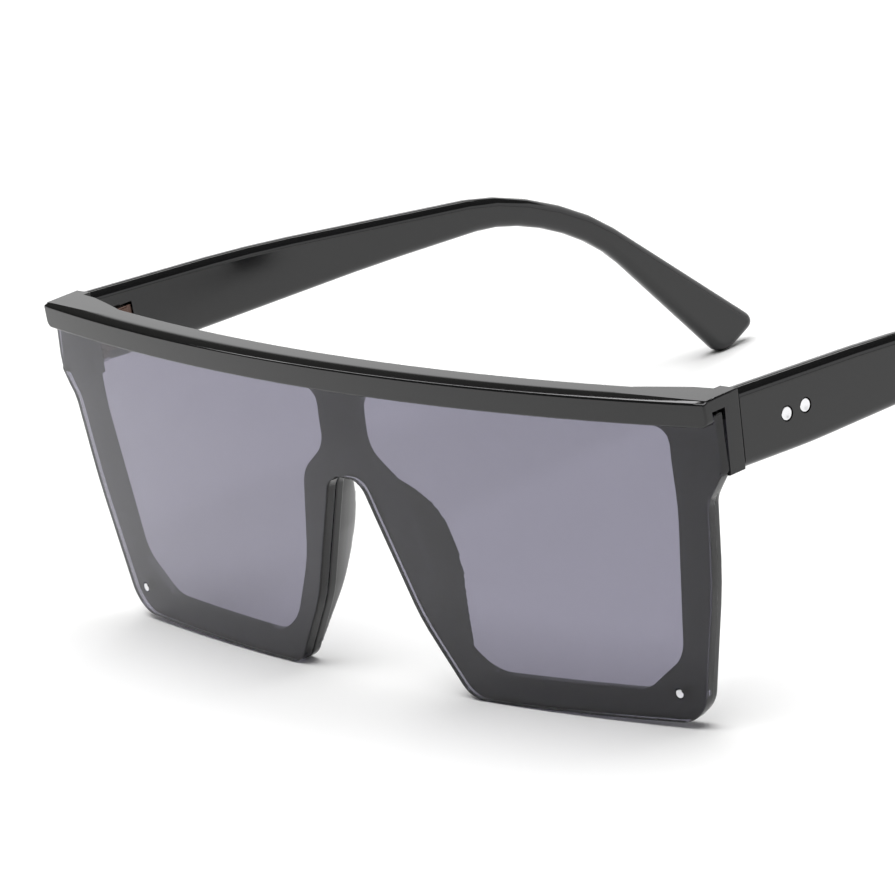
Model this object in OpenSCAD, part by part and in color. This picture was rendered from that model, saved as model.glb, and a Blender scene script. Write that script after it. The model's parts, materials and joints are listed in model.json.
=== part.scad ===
// Oversized square shield sunglasses: a flat-topped moulded front with one
// wide lens on it, and two folding temples on five-knuckle hinges.
// Millimetres. +Z is up, the front faces -Y, the temples run towards +Y.
// The part stands on the lens's lower edges and the temple tips, at Z = 0.

/* [Front] */
// Overall width across the brow bar
front_w = 147; // [140:1:156]
// Height of the brow bar's top above the lens's lower edge
front_h = 48.5; // [46.5:0.5:53]
// Radius of the front's curve, seen from above
front_r = 380; // [300:5:450]
// Height of the brow bar's face
brow_h = 3.5; // [3:0.1:5]
// Depth of the brow bar, front to back
brow_depth = 4.8; // [4.6:0.1:6]
// Depth of the rims that back the lens
rim_t = 1.4; // [1.3:0.1:2]
// Distance from the lens's side edge to the eye opening, under the brow bar
rim_w = 5.2; // [4.6:0.1:6.5]
// Width of the rim below the eye
rim_bottom_w = 4.1; // [3.6:0.1:5.5]
// Half width of the bridge between the eyes
bridge_half_w = 4.6; // [3.8:0.1:5]
// How far the rim's outer edge lies inside the lens's edge
rim_inset = 0.6; // [0.2:0.1:1]

/* [Lens] */
// Thickness of the lens
lens_t = 1.6; // [1.4:0.1:2]
// How far the lens's face lies behind the brow bar's face
lens_setback = 0.9; // [0.8:0.1:1.3]
// How far the lens reaches up behind the brow bar
lens_tuck = 1.6; // [1:0.1:2]
// Gap between the lens and its seat
lens_gap = 0.2; // [0.1:0.05:0.3]
// Diameter of a lens rivet's head
lens_rivet_d = 1.3; // [1:0.1:1.8]

/* [Nose] */
// Height of the nose arch above the lens's lower edge
nose_h = 31.2; // [29:0.2:33]
// Half width of the nose arch at its top
nose_top_half_w = 3.3; // [3:0.1:4.4]
// Depth of the nose bearings behind the front's face
nose_depth = 9.3; // [8:0.1:11]
// Flare of the nose bearings towards the back, in degrees
nose_flare = 19; // [12:1:24]

/* [Temples] */
// Length of a temple along Y, from the hinge joint to the tip
temple_reach = 127; // [120:1:136]
// Height of a temple at the hinge
temple_h = 11.0; // [10:0.1:13]
// Thickness of a temple
temple_t = 3.3; // [3:0.1:4]
// How far the temple tips converge, as an angle from straight back
temple_splay = 1.6; // [0:0.2:4]
// Lean of the joint between the front and a temple, in degrees
joint_slant = 5.4; // [0:0.2:6]
// Rounding of a temple's long edges
temple_edge_r = 0.9; // [0.5:0.1:1.2]
// Diameter of a temple rivet's head
temple_rivet_d = 1.95; // [1.6:0.05:2.2]
// Distance between the two rivets of a temple
rivet_pitch = 3.6; // [3.4:0.1:4.4]

/* [Hinges] */
// Height of the five knuckles together
hinge_h = 6.4; // [5.6:0.1:7]
// Outer diameter of a knuckle
knuckle_d = 2.5; // [2.3:0.1:2.8]
// Diameter of the hinge screw's shank
screw_d = 1.2; // [1:0.1:1.4]
// Clearance round the hinge screw and beside each knuckle
hinge_clear = 0.06; // [0.04:0.01:0.1]
// Thickness of the hinge leaves
leaf_t = 1.0; // [0.8:0.1:1.1]

/* [Hidden] */

half_w = front_w / 2;
big = 400;
curve_fn = 720;
bore_fn = 48;
// Largest turn between two neighbouring points of a rounded corner, in degrees
arc_step = 9;
// Clearance between pieces that are fixed to each other
fixed_clear = 0.03;

// Depths behind the front's face, measured square to the curved shell
lens_front = lens_setback;
lens_back = lens_front + lens_t;
rim_front = lens_back + lens_gap;
rim_back = rim_front + rim_t;

// Heights above the floor
brow_z = front_h - brow_h;
lens_top = brow_z + lens_tuck;
groove_top = lens_top + lens_gap / 2;
temple_top = front_h - 0.15;
temple_bottom = temple_top - temple_h;
block_bottom = temple_bottom;
eye_top = brow_z - 0.8;

// The joint between the end block and the temple
sagitta = front_r - sqrt(front_r * front_r - half_w * half_w);
block_depth = 5.95;
block_rear = sagitta + block_depth;
joint_gap = 0.1;
joint_y = block_rear + joint_gap;
// How far the joint leans back at the top of the hinge
joint_lean = hinge_h / 2 * tan(joint_slant);
// Step from the front's end to the temple's outer face
temple_step = 0.05;

// The hinge axis
axis_inset = temple_t + 1.9;
axis_x = half_w - axis_inset;
axis_y = block_rear + joint_gap / 2;
hinge_z = (temple_top + temple_bottom) / 2 - 0.8;
hinge_low = hinge_z - hinge_h / 2;
hinge_high = hinge_z + hinge_h / 2;
knuckle_count = 5;
knuckle_pitch = (hinge_h + hinge_clear) / knuckle_count;
knuckle_r = knuckle_d / 2;
screw_r = screw_d / 2;
bore_r = screw_r + hinge_clear;
screw_head_r = knuckle_r - 0.1;
screw_head_h = 0.7;
screw_slot_w = 0.3;
screw_slot_depth = 0.25;
recess_top = hinge_high + 0.15;
recess_half_w = knuckle_r + 0.9;
leaf_y = axis_y - knuckle_r - 0.25;
front_tang_w = 1.4;
front_tang_l = 1.4;
front_tang_h = hinge_h - 2.2;

// The temple's own hinge leaf, in the temple's frame
leaf_l = 8.6;
leaf_start = axis_y + knuckle_r + 0.12 - joint_y;
leaf_proud = 1.2;
tang_depth = 2.1;
tang_l = leaf_l + 1 + 1.5 * rivet_pitch;
tang_h = 4.6;
rivet_y = leaf_l;
rivet_z = hinge_z;
rivet_head_h = 0.55;
rivet_recess_r = temple_rivet_d / 2 + 0.14;
rivet_shank_r = 0.6;
rivet_sink = 0.05;
web_l = leaf_start + 0.6;

// The lens rivets, near the lower outer corners
lens_rivet_x = half_w - 13.7;
lens_rivet_z = 5.2;
lens_rivet_head_h = 0.5;
lens_rivet_shank_r = 0.4;
lens_rivet_recess_r = lens_rivet_d / 2 + 0.15;
lens_rivet_depth = rim_back - 0.5;

// Outlines. A point is [x, z, corner radius].

function unit(v) = v / norm(v);
function turn(a) = a > 180 ? a - 360 : a < -180 ? a + 360 : a;
function arc_points(centre, r, from, sweep, n) =
    [for (i = [0:n]) centre + r * [cos(from + sweep * i / n), sin(from + sweep * i / n)]];
function corner(a, b, c, r) =
    r == 0 ? [b] :
    let(u = unit(a - b), v = unit(c - b),
        opening = acos(u * v),
        p = b + u * r / tan(opening / 2),
        q = b + v * r / tan(opening / 2),
        centre = b + unit(u + v) * r / sin(opening / 2),
        from = atan2(p.y - centre.y, p.x - centre.x),
        to = atan2(q.y - centre.y, q.x - centre.x),
        sweep = turn(to - from),
        n = max(2, ceil(abs(sweep) / arc_step)))
    arc_points(centre, r, from, sweep, n);
function flat(p) = [p.x, p.y];
function rounded(points) =
    let(n = len(points))
    [for (i = [0:n - 1])
        each corner(flat(points[(i + n - 1) % n]), flat(points[i]),
                    flat(points[(i + 1) % n]), points[i][2])];
// A closed outline from its right half, listed from the top middle downwards
function both_halves(half) =
    concat(half, [for (i = [len(half) - 1:-1:0]) [-half[i].x, half[i].y, half[i][2]]]);

// The nose edge of the lens: a straight flank, a bend and a foot
nose_flank_h = 19.8;
nose_flank_in = 8;
nose_bend = [nose_top_half_w + nose_flank_in, nose_h - nose_flank_h];
nose_foot = [nose_bend.x + 7.8, 0];

// The lens's outer side: a shoulder under the end block, then a long taper
shoulder_z = block_bottom + 0.4;
shoulder_in = 3;
taper_in = 10.3;
foot_rise = 0.9;

function lens_half(side_inset) = [
    [half_w - side_inset, lens_top, 0.4],
    [half_w - side_inset, shoulder_z, 1.3],
    [half_w - side_inset - shoulder_in, shoulder_z - 4.1, 4],
    [half_w - side_inset - 4.9, shoulder_z - 16.7, 60],
    [half_w - side_inset - taper_in, foot_rise, 5.5],
    [nose_foot.x + 8, 0, 60],
    [nose_foot.x, nose_foot.y, 4.5],
    [nose_bend.x, nose_bend.y, 20],
    [nose_top_half_w, nose_h, 3.2]];
lens_outline = rounded(both_halves(lens_half(0)));
rim_outline = rounded(both_halves(lens_half(rim_inset)));

// The opening of the right eye
eye_outline = rounded([
    [bridge_half_w, eye_top, 2.4],
    [half_w - rim_w - 2.9, eye_top, 2.6],
    [half_w - rim_w - 3.7, shoulder_z - 5.2, 30],
    [half_w - rim_w - 7.7, rim_bottom_w + 5.8, 4],
    [half_w - rim_w - 15.1, rim_bottom_w + 0.1, 4],
    [nose_foot.x + 1.3, rim_bottom_w - 0.2, 3.5],
    [nose_bend.x + 2.5, nose_h - 14.1, 18],
    [nose_top_half_w + 7.2, nose_h - 0.2, 5],
    [bridge_half_w, nose_h + 4.3, 4]]);

brow_outline = rounded([
    [-half_w, front_h, 0.5],
    [half_w, front_h, 0.5],
    [half_w, brow_z, 1.5],
    [-half_w, brow_z, 1.5]]);

// The band of a nose bearing, between the nose edge and the eye
bearing_y = 3;
function sheared(x) = (x - bearing_y * tan(nose_flare)) * cos(nose_flare);
bearing_outline = [for (p = rounded([
    [nose_top_half_w + 1.0, nose_h - 2.6, 1],
    [nose_top_half_w + 5.2, nose_h - 2.2, 2],
    [nose_bend.x + 2.4, nose_h - 13.9, 18],
    [nose_foot.x - 1.9, 7, 3],
    [nose_foot.x - 3.2, 3.4, 1],
    [nose_bend.x, nose_bend.y, 16]])) [sheared(p.x), p.y]];

// The side view of a nose bearing, a crescent: [y, z, corner radius]
bearing_profile = rounded([
    [rim_front + 0.3, nose_h - 1.6, 0],
    [rim_back + 1.6, nose_h - 2.6, 2.5],
    [nose_depth - 0.4, nose_h - 5, 2.5],
    [nose_depth - 0.2, nose_h - 13.5, 14],
    [rim_back + 1.9, 8, 12],
    [rim_back + 0.2, 2.6, 0],
    [rim_front + 0.3, 2.6, 0]]);

// The end block seen from above: [x, y, corner radius]
block_in = 8.3;
block_reach = block_rear + 1;
block_cap = rounded([
    [half_w, sagitta - 1, 0],
    [half_w, block_reach, 0],
    [half_w - 6.7, block_reach, 1.8],
    [half_w - 9.3, sagitta + 3.6, 2.5],
    [half_w - 14, sagitta + 1.2, 0],
    [half_w - 14, sagitta - 1, 0]]);
block_lower = rounded([
    [half_w, sagitta - 1, 0],
    [half_w, block_reach, 0],
    [half_w - block_in + 0.8, block_reach, 0.8],
    [half_w - block_in, sagitta + 4.6, 1],
    [half_w - block_in, sagitta - 3, 0]]);

// The temple seen from the side, in its own frame: [y from the joint, z, radius]
root_extra = 2;
bend_y = temple_reach - 36.7;
temple_outline = rounded([
    [-root_extra, temple_top + 0.15, 0],
    [31.3, temple_top - 2.4, 250],
    [bend_y, temple_top - 10.65, 52],
    [temple_reach + 1.3, 2.9, 1.8],
    [temple_reach - 5.4, 0, 5],
    [bend_y + 28.7, 0, 2.5],
    [bend_y + 1.5, temple_bottom - 3.7, 38],
    [54.5, temple_bottom - 1.65, 300],
    [12.8, temple_bottom - 0.8, 120],
    [-root_extra, temple_bottom + 0.1, 0]]);

// The whole part is moved so that its box is centred on the origin
depth = joint_y + max([for (p = temple_outline) p.x]) * cos(temple_splay)
    - temple_edge_r * sin(temple_splay);

// Solids from outlines

module wall_xz(outline, y0, y1)
    translate([0, y1, 0]) rotate([90, 0, 0]) linear_extrude(y1 - y0) polygon(outline);

// An upright wall that reaches through the whole depth of the front
module front_wall(outline) wall_xz(outline, -2, 30);

// All that lies deeper than a given depth behind the front's face
module behind(depth)
    translate([0, front_r, -1]) cylinder(r = front_r - depth, h = big, $fn = curve_fn);

module curved_layer(from, to)
    difference() {
        behind(from);
        translate([0, front_r, -2]) cylinder(r = front_r - to, h = big + 2, $fn = curve_fn);
    }

module curved_plate(outline, from, to)
    intersection() {
        front_wall(outline);
        curved_layer(from, to);
    }

// Moves a child that lies at the origin, with +Y going in, onto the front's face
module on_front(x, z)
    translate([0, front_r, 0]) rotate([0, 0, asin(x / front_r)])
        translate([0, -front_r, z]) rotate([-90, 0, 0]) children();

module box(x0, x1, y0, y1, z0, z1)
    translate([x0, y0, z0]) cube([x1 - x0, y1 - y0, z1 - z0]);

// An outline whose points are moved inwards by d along their normals
function normal(a, b) = let(u = unit(b - a)) [-u.y, u.x];
function inset(points, d) =
    let(n = len(points))
    [for (i = [0:n - 1])
        let(n1 = normal(points[(i + n - 1) % n], points[i]),
            n2 = normal(points[i], points[(i + 1) % n]))
        points[i] - d * (n1 + n2) / (1 + n1 * n2)];

// Triangles across a long outline, from its first point to its farthest, worked
// out by stepping along its upper edge (i) and its lower edge (j) side by side
function across(points, i, j, far) =
    i == far && j == far + 1 ? [] :
    i < far && (j == far + 1 || points[i + 1].x <= points[j - 1].x) ?
        concat([[i, i + 1, j]], across(points, i + 1, j, far)) :
        concat([[i, j - 1, j]], across(points, i, j - 1, far));

// A slab of thickness t over a side-view outline, with its long edges rounded.
// Its outer face is at x = 0, and it is built in layers from there inwards.
edge_steps = 4;
module rounded_slab(outline, t, r) {
    n = len(outline);
    reach = [for (p = outline) p.x];
    far = search(max(reach), reach)[0];
    half_layers = [for (i = [0:edge_steps])
        let(a = 90 * i / edge_steps) [r * (1 - cos(a)), r * (1 - sin(a))]];
    layers = concat(
        half_layers,
        [for (i = [edge_steps:-1:0]) [t - half_layers[i][0], half_layers[i][1]]]);
    last = len(layers) - 1;
    points = [for (layer = layers) for (p = inset(outline, layer[1])) [-layer[0], p.x, p.y]];
    cap = across(outline, 0, n - 1, far);
    faces = concat(
        cap,
        [for (f = cap) [last * n + f[2], last * n + f[1], last * n + f[0]]],
        [for (k = [0:last - 1]) for (i = [0:n - 1])
            each let(j = (i + 1) % n)
            [[k * n + i, (k + 1) * n + i, (k + 1) * n + j],
             [k * n + i, (k + 1) * n + j, k * n + j]]]);
    polyhedron(points, faces);
}

// The temple's own frame: origin at the joint, on the temple's outer face
module temple_frame()
    translate([half_w - temple_step, joint_y, 0]) rotate([0, 0, temple_splay]) children();

// Everything behind a leaning plane through the joint, at the hinge's height
module behind_joint(y)
    translate([-big, y, hinge_z]) rotate([-joint_slant, 0, 0]) translate([0, 0, -big])
        cube(2 * big);

module before_joint()
    translate([-big, joint_y, hinge_z]) rotate([-joint_slant, 0, 0]) translate([0, -2 * big, -big])
        cube(2 * big);

module right_side() translate([0, -depth / 2, 0]) children();
module left_side() translate([0, -depth / 2, 0]) mirror([1, 0, 0]) children();
module sides() {
    children();
    mirror([1, 0, 0]) children();
}

// Front

module end_block()
    difference() {
        union() {
            intersection() {
                translate([0, 0, brow_z]) linear_extrude(brow_h) polygon(block_cap);
                behind(lens_front);
            }
            intersection() {
                translate([0, 0, block_bottom]) linear_extrude(front_h - 0.2 - block_bottom)
                    polygon(block_lower);
                behind(rim_front);
            }
        }
        behind_joint(block_rear);
    }

module nose_bearing()
    intersection() {
        rotate([0, 0, -nose_flare]) wall_xz(bearing_outline, -4, 24);
        translate([-4, 0, 0]) rotate([90, 0, 90]) linear_extrude(40) polygon(bearing_profile);
        behind(rim_front);
    }

module hinge_recess() {
    box(axis_x - recess_half_w, axis_x + recess_half_w, leaf_y - leaf_t - fixed_clear, block_reach + 1,
        block_bottom - 1, recess_top);
    box(axis_x - front_tang_w / 2 - fixed_clear, axis_x + front_tang_w / 2 + fixed_clear,
        leaf_y - leaf_t - front_tang_l - fixed_clear, leaf_y,
        hinge_z - front_tang_h / 2 - fixed_clear, hinge_z + front_tang_h / 2 + fixed_clear);
}

module lens_rivet_bore(extra)
    on_front(lens_rivet_x, lens_rivet_z) {
        translate([0, 0, lens_front - 1])
            cylinder(r = lens_rivet_recess_r, h = lens_rivet_head_h + 1, $fn = bore_fn);
        cylinder(r = lens_rivet_shank_r + fixed_clear, h = lens_rivet_depth + extra, $fn = bore_fn);
    }

module front_frame()
    color([0.07, 0.07, 0.08]) right_side() difference() {
        union() {
            curved_plate(brow_outline, 0, brow_depth);
            difference() {
                intersection() {
                    curved_plate(rim_outline, rim_front, rim_back);
                    box(-big, big, -big, big, -1, brow_z + 1);
                }
                sides() front_wall(eye_outline);
            }
            sides() end_block();
            sides() nose_bearing();
        }
        intersection() {
            box(-half_w - 1, half_w + 1, -2, 30, brow_z - 1, groove_top);
            curved_layer(lens_front - lens_gap / 2, rim_front);
        }
        sides() hinge_recess();
        sides() lens_rivet_bore(0.1);
    }

module shield_lens()
    color([0.3, 0.3, 0.34, 0.6]) right_side() difference() {
        curved_plate(lens_outline, lens_front, lens_back);
        sides() lens_rivet_bore(1);
    }

module lens_rivet()
    color([0.85, 0.85, 0.87]) on_front(lens_rivet_x, lens_rivet_z) {
        translate([0, 0, lens_front + rivet_sink])
            cylinder(d = lens_rivet_d, h = lens_rivet_head_h - rivet_sink - fixed_clear, $fn = bore_fn);
        translate([0, 0, lens_front + rivet_sink])
            cylinder(r = lens_rivet_shank_r, h = lens_rivet_depth - lens_front - rivet_sink, $fn = bore_fn);
    }

module left_lens_rivet() left_side() lens_rivet();
module right_lens_rivet() right_side() lens_rivet();

// Temples

module temple_bore(y)
    translate([1, y, rivet_z]) rotate([0, -90, 0]) {
        cylinder(r = rivet_recess_r, h = 1 + rivet_head_h, $fn = bore_fn);
        cylinder(r = rivet_shank_r + fixed_clear, h = 1 + tang_depth + leaf_t, $fn = bore_fn);
    }

module temple()
    color([0.08, 0.08, 0.09]) difference() {
        temple_frame() difference() {
            rounded_slab(temple_outline, temple_t, temple_edge_r);
            box(-tang_depth - leaf_t * 2 - leaf_proud, -tang_depth + fixed_clear, -root_extra - 1,
                leaf_l + fixed_clear, hinge_low - fixed_clear, hinge_high + fixed_clear);
            box(-tang_depth - leaf_t - fixed_clear + 0.1, -tang_depth + fixed_clear, leaf_l - 1,
                tang_l + fixed_clear, hinge_z - tang_h / 2 - fixed_clear, hinge_z + tang_h / 2 + fixed_clear);
            temple_bore(rivet_y);
            temple_bore(rivet_y + rivet_pitch);
        }
        before_joint();
    }

module left_temple() left_side() temple();
module right_temple() right_side() temple();

// Hinges

// The knuckles of one leaf, counted from the bottom, with the screw's bore
module knuckles(first)
    for (i = [first:2:knuckle_count - 1])
        translate([axis_x, axis_y, hinge_low + i * knuckle_pitch])
            cylinder(r = knuckle_r, h = knuckle_pitch - hinge_clear, $fn = bore_fn);

module screw_bore()
    translate([axis_x, axis_y, hinge_low - 1])
        cylinder(r = bore_r, h = hinge_h + 2, $fn = bore_fn);

module hinge_front_leaf()
    color([0.62, 0.5, 0.42]) difference() {
        union() {
            knuckles(0);
            for (i = [0:2:knuckle_count - 1])
                translate([0, 0, i * knuckle_pitch])
                    box(axis_x - knuckle_r + 0.1, axis_x + knuckle_r - 0.1, leaf_y - leaf_t / 2, axis_y,
                        hinge_low, hinge_low + knuckle_pitch - hinge_clear);
            box(axis_x - recess_half_w + fixed_clear, axis_x + recess_half_w - fixed_clear,
                leaf_y - leaf_t, leaf_y, hinge_low, hinge_high);
            box(axis_x - front_tang_w / 2, axis_x + front_tang_w / 2, leaf_y - leaf_t - front_tang_l,
                leaf_y - leaf_t / 2, hinge_z - front_tang_h / 2, hinge_z + front_tang_h / 2);
        }
        screw_bore();
    }

module hinge_temple_leaf()
    color([0.62, 0.5, 0.42]) difference() {
        union() {
            knuckles(1);
            for (i = [1:2:knuckle_count - 1])
                translate([0, 0, i * knuckle_pitch])
                    box(axis_x, half_w - tang_depth - 0.2, joint_y + joint_lean + 0.05, joint_y + web_l,
                        hinge_low, hinge_low + knuckle_pitch - hinge_clear);
            temple_frame() {
                box(-temple_t - leaf_proud, -tang_depth, leaf_start, leaf_l, hinge_low, hinge_high);
                box(-tang_depth - leaf_t + 0.1, -tang_depth, leaf_l - 1, tang_l,
                    hinge_z - tang_h / 2, hinge_z + tang_h / 2);
            }
        }
        screw_bore();
        temple_frame() {
            temple_bore(rivet_y);
            temple_bore(rivet_y + rivet_pitch);
        }
    }

module hinge_screw()
    color([0.8, 0.8, 0.82]) translate([axis_x, axis_y, 0]) difference() {
        union() {
            translate([0, 0, hinge_low - hinge_clear - screw_head_h])
                cylinder(r = screw_head_r, h = screw_head_h, $fn = bore_fn);
            translate([0, 0, hinge_low - hinge_clear - screw_head_h / 2])
                cylinder(r = screw_r, h = hinge_h + hinge_clear + screw_head_h / 2 - 0.1, $fn = bore_fn);
        }
        box(-knuckle_r, knuckle_r, -screw_slot_w / 2, screw_slot_w / 2,
            hinge_low - hinge_clear - screw_head_h - 1,
            hinge_low - hinge_clear - screw_head_h + screw_slot_depth);
    }

module temple_rivet(y)
    color([0.85, 0.85, 0.87]) temple_frame() translate([-rivet_sink, y, rivet_z]) rotate([0, -90, 0]) {
        cylinder(d = temple_rivet_d, h = rivet_head_h - rivet_sink - fixed_clear, $fn = bore_fn);
        cylinder(r = rivet_shank_r, h = tang_depth + leaf_t - rivet_sink - 0.1, $fn = bore_fn);
    }

module left_hinge_front_leaf() left_side() hinge_front_leaf();
module right_hinge_front_leaf() right_side() hinge_front_leaf();
module left_hinge_temple_leaf() left_side() hinge_temple_leaf();
module right_hinge_temple_leaf() right_side() hinge_temple_leaf();
module left_hinge_screw() left_side() hinge_screw();
module right_hinge_screw() right_side() hinge_screw();
module left_temple_front_rivet() left_side() temple_rivet(rivet_y);
module left_temple_rear_rivet() left_side() temple_rivet(rivet_y + rivet_pitch);
module right_temple_front_rivet() right_side() temple_rivet(rivet_y);
module right_temple_rear_rivet() right_side() temple_rivet(rivet_y + rivet_pitch);

front_frame();
shield_lens();
left_lens_rivet();
right_lens_rivet();
left_temple();
right_temple();
left_hinge_front_leaf();
right_hinge_front_leaf();
left_hinge_temple_leaf();
right_hinge_temple_leaf();
left_hinge_screw();
right_hinge_screw();
left_temple_front_rivet();
left_temple_rear_rivet();
right_temple_front_rivet();
right_temple_rear_rivet();
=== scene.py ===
"""Oversized square shield sunglasses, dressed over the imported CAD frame.

Every piece is modelled in millimetres, with the front's foremost point at Y = 0 and the floor
at Z = 0, and is brought into the frame's metres when it is finished.
"""

import json
import math

import bmesh
import bpy
from bpy.props import FloatProperty, FloatVectorProperty, PointerProperty
from mathutils import Matrix, Vector


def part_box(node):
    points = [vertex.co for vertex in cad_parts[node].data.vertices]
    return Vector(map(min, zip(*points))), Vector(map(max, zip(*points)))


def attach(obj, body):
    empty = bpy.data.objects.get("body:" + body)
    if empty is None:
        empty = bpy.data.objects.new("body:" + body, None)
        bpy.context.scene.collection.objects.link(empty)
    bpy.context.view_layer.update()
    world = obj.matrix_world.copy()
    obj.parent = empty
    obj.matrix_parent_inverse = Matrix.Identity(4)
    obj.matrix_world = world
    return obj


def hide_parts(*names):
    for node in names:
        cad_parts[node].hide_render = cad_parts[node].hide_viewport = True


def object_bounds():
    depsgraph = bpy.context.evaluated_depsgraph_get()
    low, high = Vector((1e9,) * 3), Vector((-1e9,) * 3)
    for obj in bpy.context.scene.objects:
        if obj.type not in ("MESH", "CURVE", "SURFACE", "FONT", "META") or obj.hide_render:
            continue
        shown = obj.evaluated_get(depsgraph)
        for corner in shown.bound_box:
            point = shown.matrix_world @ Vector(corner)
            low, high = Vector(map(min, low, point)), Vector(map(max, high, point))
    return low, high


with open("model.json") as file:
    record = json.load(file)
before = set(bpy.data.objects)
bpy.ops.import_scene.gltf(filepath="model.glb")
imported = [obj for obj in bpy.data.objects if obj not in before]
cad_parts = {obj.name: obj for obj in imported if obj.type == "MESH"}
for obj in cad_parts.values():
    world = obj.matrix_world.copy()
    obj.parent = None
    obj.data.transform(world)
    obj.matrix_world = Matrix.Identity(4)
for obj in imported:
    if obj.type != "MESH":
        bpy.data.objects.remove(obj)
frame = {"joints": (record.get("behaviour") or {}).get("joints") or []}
CAD_LOW, CAD_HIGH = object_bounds()

bl_info = {
    "name": "Square Shield Sunglasses",
    "version": (1, 0, 0),
    "blender": (4, 5, 0),
    "location": "View3D > Sidebar > Sunglasses",
    "description": "Builds the front, lens, temples, hinges and studio of a pair of sunglasses",
    "category": "Object",
}

MM = 0.001
FRONT_BODY = "front"

# Sizes that come from the CAD frame, in millimetres
HALF_W = CAD_HIGH[0] / MM
HALF_DEPTH = CAD_HIGH[1] / MM
FRONT_H = CAD_HIGH[2] / MM
RIGHT_FOLD = next(joint for joint in frame["joints"] if joint["name"] == "right_temple_fold")
AXIS = Vector(RIGHT_FOLD["pos_m"]) / MM + Vector((0, HALF_DEPTH, 0))
AXIS_X = AXIS.x
AXIS_Y = AXIS.y
LEAF_LOW, LEAF_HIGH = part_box("right_hinge_front_leaf")
AXIS_Z = (LEAF_LOW[2] + LEAF_HIGH[2]) / 2 / MM

# Tolerances: for merging points, for one point, for points on a plane, and for picking a face's points
WELD = 0.0005
SAME_POINT = 0.001
ON_PLANE = 0.002
NEAR = 0.01

# How far a cutter sticks out of what it cuts, and the play of a fixed piece in its seat
OVER = 1.0
FIT = 0.03

# Strip width of a curved surface, and the sides of a round bar
STRIP = 3.0
DRUM_SIDES = 48

# The largest turn in degrees and the shortest step of a rounding
ROUND_TURN = 8
SHORTEST = 0.25

# Angles in degrees: edges that turn by more are rounded, or by less are shaded smooth
SHARP_ANGLE = 40
SMOOTH_ANGLE = 38
LENS_SMOOTH_ANGLE = 25

# The brow bar
BROW_DEPTH = 4.8
BROW_H = 3.75
BROW_Z = FRONT_H - BROW_H
BROW_END_R = 1.1
BROW_END_PLAY = 0.005

# The brow's top falls towards the front: ahead of each depth, by this much more
BROW_CROWN = ((2.4, 0.028), (1.6, 0.083), (0.8, 0.139))
BROW_CROWN_H = 0.9

# The lens: its depths behind the brow bar's face, its top, its extra width and its bevel's share behind
LENS_FRONT = 0.9
LENS_T = 1.6
LENS_BACK = LENS_FRONT + LENS_T
LENS_TOP = BROW_Z + 1.85
LENS_WIDER = 0.12
LENS_BACK_WIDER = 0.3
LENS_SIDE = HALF_W - 0.6
LENS_BACK_BEVEL = 0.3

# The groove in the brow bar that holds the lens
GROOVE_FRONT = LENS_FRONT + 0.35
GROOVE_BACK = BROW_DEPTH - 0.9
GROOVE_TOP = BROW_Z + 1.95
GROOVE_HALF_W = 90.0

# The rims behind the lens
RIM_FRONT = 2.7
RIM_BACK = 4.1
RIM_INSET = 0.3
RIM_TOP = BROW_Z + 0.85
RIM_W = 5.2
RIM_EDGE_R = 0.25

# The upper part of the lens and rims leans back: where it starts, and how far it leans per row
LEAN_START = 34.0
LEAN_ROW = 2.0
LEANS = (0.02, 0.06, 0.11, 0.14, 0.15, 0.16)

# The nose bearings: their start, steps backwards and turn outwards, the cutter's reach and the mesh width
BEARING_FRONT = 3.0
BEARING_STEPS = 6
BEARING_STEP = 1.2
BEARING_SLOPE = 0.12
BEARING_CURL = 0.105
BEARING_REACH = 30.0
BEARING_MESH = 0.33

# The joint between end block and temple: it leans back, and its depths are those at the hinge's height
JOINT_LEAN = math.radians(5.4)
JOINT_NORMAL = Vector((0, math.cos(JOINT_LEAN), -math.sin(JOINT_LEAN)))
JOINT_HALF_GAP = 0.05
JOINT_Y = AXIS_Y + JOINT_HALF_GAP
BLOCK_REAR = AXIS_Y - JOINT_HALF_GAP
JOINT_EDGE_R = 0.12

# The temples
TEMPLE_TOP = FRONT_H - 0.15
TEMPLE_H = 11.0
TEMPLE_BOTTOM = TEMPLE_TOP - TEMPLE_H
TEMPLE_BEND = 90.3
TEMPLE_SPLAY = math.radians(1.6)
TEMPLE_STEP = 0.05

# The end blocks, laid out past the joint and then cut off there, and the depth where they come free
BLOCK_SIDE = HALF_W - 0.01
BLOCK_TOP = FRONT_H - 0.005
BLOCK_BOTTOM = TEMPLE_BOTTOM - 0.15
BLOCK_W = 3.4
BLOCK_START = 7.4
BLOCK_END = BLOCK_REAR + 3
BLOCK_OVERLAP = 0.15
BLOCK_SET_BACK = 1.05
BLOCK_FREE_Y = 9.7
BLOCK_EDGE_R = 0.16
CAP_BOTTOM = BROW_Z + 2.02

# The temple rivets
RIVET_Y = 8.6
RIVET_PITCH = 3.6
RIVET_R = 0.975
RIVET_H = 0.47
RIVET_SINK = 0.05
RIVET_RECESS_R = 1.115
RIVET_RECESS_DEPTH = 0.55

# A rivet's head, as shares of its radius: its rim, the slope inside it, how far it sinks, its rounding
HEAD_RIM = 0.3
HEAD_SLOPE = 0.25
HEAD_SINK = 0.08
HEAD_ROUND = 0.14

# The lens rivets
LENS_RIVET_X = HALF_W - 13.7
LENS_RIVET_Z = 5.2
LENS_RIVET_R = 0.65
LENS_RIVET_H = 0.3
LENS_RIVET_PROUD = 0.03
LENS_RECESS_R = 0.8
LENS_RECESS_DEPTH = 0.3
LENS_CUTTER_OVER = 0.5

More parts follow.
